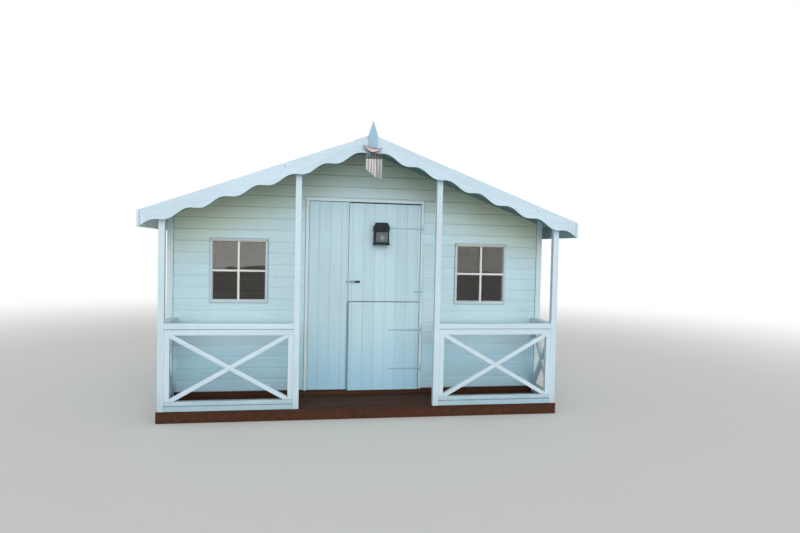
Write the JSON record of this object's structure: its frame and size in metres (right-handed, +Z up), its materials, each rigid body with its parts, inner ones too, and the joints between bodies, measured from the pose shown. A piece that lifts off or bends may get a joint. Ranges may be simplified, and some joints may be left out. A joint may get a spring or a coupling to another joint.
{
  "type": "summerhouse",
  "caption": "Painted timber summerhouse with scalloped bargeboards, shallow veranda, X-braced balustrades, boarded stable door and paned windows.",
  "frame": {"origin": "middle of the base on the ground, under the middle bearer", "axes": "+X to the right seen from the front, -Y towards the front, +Z up"},
  "size_m": [3.912, 3.084, 2.656],
  "materials": {
    "wall_paint": "duck-egg blue paint on softwood boards",
    "trim_paint": "pale blue paint on planed softwood",
    "stained_timber": "dark red-brown stain on rough softwood",
    "bare_timber": "planed softwood",
    "roof_covering": "softwood boards under dark mineral felt",
    "bowl_lacquer": "red-brown lacquer",
    "pale_bamboo": "dry bamboo",
    "painted_iron": "painted over with the doors",
    "zinc_plated_steel": "weathered zinc plate",
    "window_glass": "clear",
    "lantern_metal": "satin dark grey",
    "frosted_glass": "frosted"
  },
  "bodies": {
    "house": {"ground_bearers": "stained_timber", "floor_joists": "stained_timber", "cabin_floor": "stained_timber", "veranda_deck": "stained_timber", "front_wall_left": "wall_paint", "front_wall_right": "wall_paint", "front_gable": "wall_paint", "rear_wall": "wall_paint", "side_walls": "wall_paint", "corner_trims": "trim_paint", "door_frame_posts": "trim_paint", "door_frame_head": "trim_paint", "side_panel": "wall_paint", "hinge_plates": "painted_iron", "bolt_keeper": "zinc_plated_steel", "window_frames": "trim_paint", "window_panes": "window_glass", "roof_left": "roof_covering", "roof_right": "roof_covering", "ridge_beam": "bare_timber", "front_rafters": "bare_timber", "eave_fascias": "trim_paint", "front_bargeboard_left": "trim_paint", "front_bargeboard_right": "trim_paint", "rear_bargeboards": "trim_paint", "finial": "trim_paint", "chime_bowl": "bowl_lacquer", "chime_tubes": "pale_bamboo", "veranda_posts": "trim_paint", "top_rails": "trim_paint", "bottom_rails": "trim_paint", "balustrade_stiles": "trim_paint", "rising_braces": "trim_paint", "falling_braces": "trim_paint"},
    "upper_leaf": {"upper_door": "wall_paint", "upper_door_ledges": "bare_timber", "upper_hinge_straps": "painted_iron", "slide_bolt": "zinc_plated_steel", "lantern_body": "lantern_metal", "lantern_pane": "frosted_glass"},
    "lower_leaf": {"lower_door": "wall_paint", "lower_door_ledges": "bare_timber", "lower_hinge_straps": "painted_iron"}
  },
  "joints": [
    {"name": "upper_door_hinge", "type": "hinge", "parent": "house", "child": "upper_leaf", "pos_m": [0.5575, -0.984, 1.43], "axis": [0, 0, 1], "range_deg": [0, 80]},
    {"name": "lower_door_hinge", "type": "hinge", "parent": "house", "child": "lower_leaf", "pos_m": [0.5575, -0.984, 0.55], "axis": [0, 0, 1], "range_deg": [0, 90]}
  ]
}
